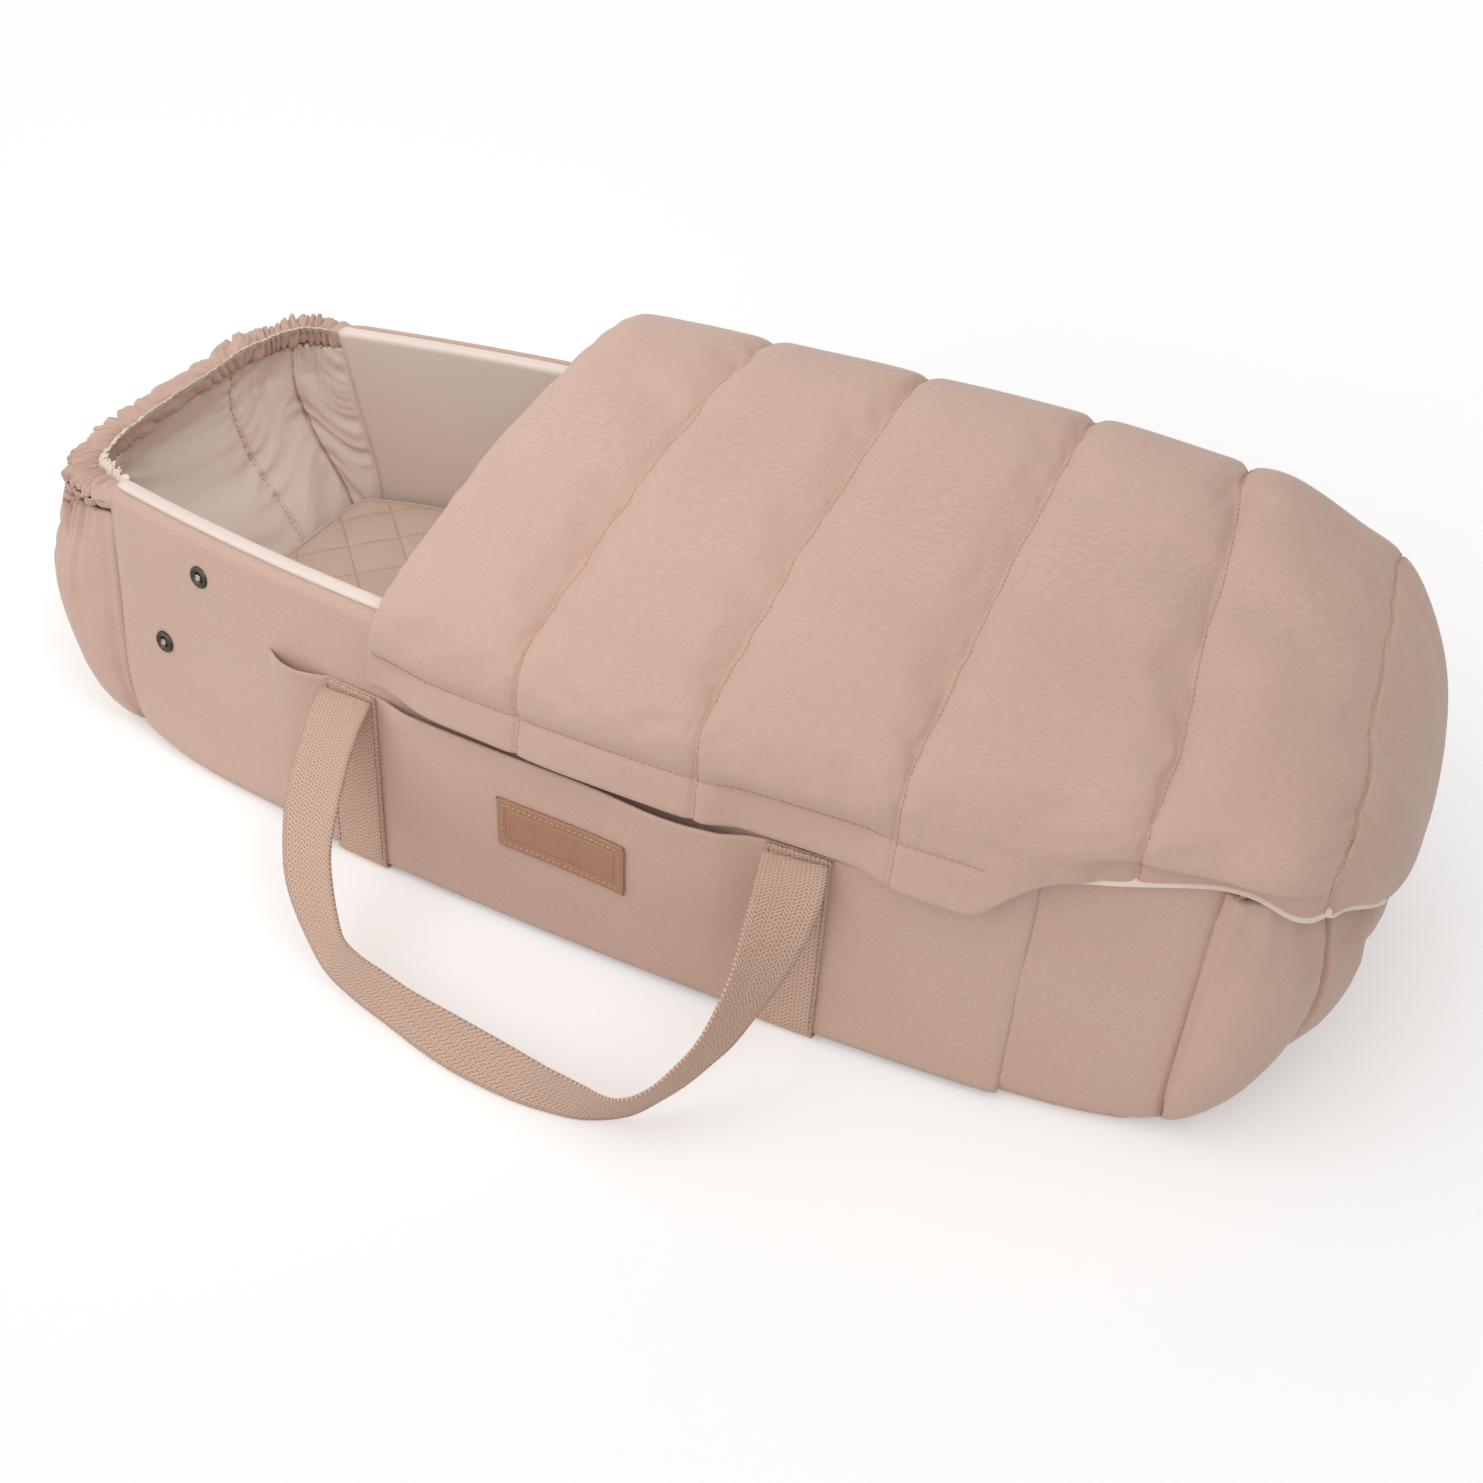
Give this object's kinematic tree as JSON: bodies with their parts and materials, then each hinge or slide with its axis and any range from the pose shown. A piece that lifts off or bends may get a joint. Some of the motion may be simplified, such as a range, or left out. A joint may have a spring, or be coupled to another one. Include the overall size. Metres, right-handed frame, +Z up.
{
  "type": "soft carrycot",
  "caption": "Soft-sided fabric carrycot with padded walls, baffled gathered ends, a channelled padded cover that folds back, side pockets and webbing loop handles",
  "frame": {"origin": "On the floor plane under the middle of the cot, at the bottom centre of its bounding box", "axes": "+X towards the foot end, +Y towards the far side, away from the leather patch, +Z up"},
  "size_m": [0.8912, 0.6036, 0.252],
  "materials": {
    "outer_fabric": "matte heathered woven cloth, dusty rose",
    "lining_fabric": "smooth fine cotton lining, pale pink-beige",
    "mattress_fabric": "quilted fine cotton, pale beige",
    "board": "plain board, hidden",
    "foam": "closed padding, hidden",
    "elastic": "woven elastic tape, hidden",
    "webbing": "coarse woven cotton webbing, warm tan",
    "leather": "smooth tan leather",
    "dark_metal": "dark gunmetal press-stud ring",
    "pale_metal": "pale press-stud centre"
  },
  "bodies": {
    "cot": {"bottom_panel": "outer_fabric", "base_board": "board", "mattress": "mattress_fabric", "mattress_piping": "mattress_fabric", "side_panel_near": "outer_fabric", "side_core_near": "foam", "side_lining_near": "lining_fabric", "side_panel_far": "outer_fabric", "side_core_far": "foam", "side_lining_far": "lining_fabric", "head_end_outer": "outer_fabric", "head_end_lining": "lining_fabric", "head_casing": "lining_fabric", "head_elastic": "elastic", "base_web_head": "webbing", "side_web_head_near": "webbing", "side_web_head_far": "webbing", "foot_end_outer": "outer_fabric", "foot_end_lining": "lining_fabric", "foot_casing": "lining_fabric", "foot_elastic": "elastic", "base_web_foot": "webbing", "side_web_foot_near": "webbing", "side_web_foot_far": "webbing", "pocket_near": "outer_fabric", "snap_ring_upper_near": "dark_metal", "snap_stud_upper_near": "pale_metal", "snap_ring_lower_near": "dark_metal", "snap_stud_lower_near": "pale_metal", "pocket_far": "outer_fabric", "snap_ring_upper_far": "dark_metal", "snap_stud_upper_far": "pale_metal", "snap_ring_lower_far": "dark_metal", "snap_stud_lower_far": "pale_metal", "leather_patch": "leather", "cover_foot": "outer_fabric"},
    "cover_front": {"cover_front": "outer_fabric"},
    "handle_near": {"handle_near": "webbing"},
    "handle_far": {"handle_far": "webbing"}
  },
  "joints": [
    {"name": "cover_fold", "type": "hinge", "parent": "cot", "child": "cover_front", "pos_m": [0.308, 0, 0.244], "axis": [0, 1, 0], "range_deg": [0, 110]},
    {"name": "handle_near_swing", "type": "hinge", "parent": "cot", "child": "handle_near", "pos_m": [0.01, -0.17463, 0.132], "axis": [-1, 0, 0], "range_deg": [0, 108]},
    {"name": "handle_far_swing", "type": "hinge", "parent": "cot", "child": "handle_far", "pos_m": [0.01, 0.17463, 0.132], "axis": [1, 0, 0], "range_deg": [0, 108]}
  ]
}
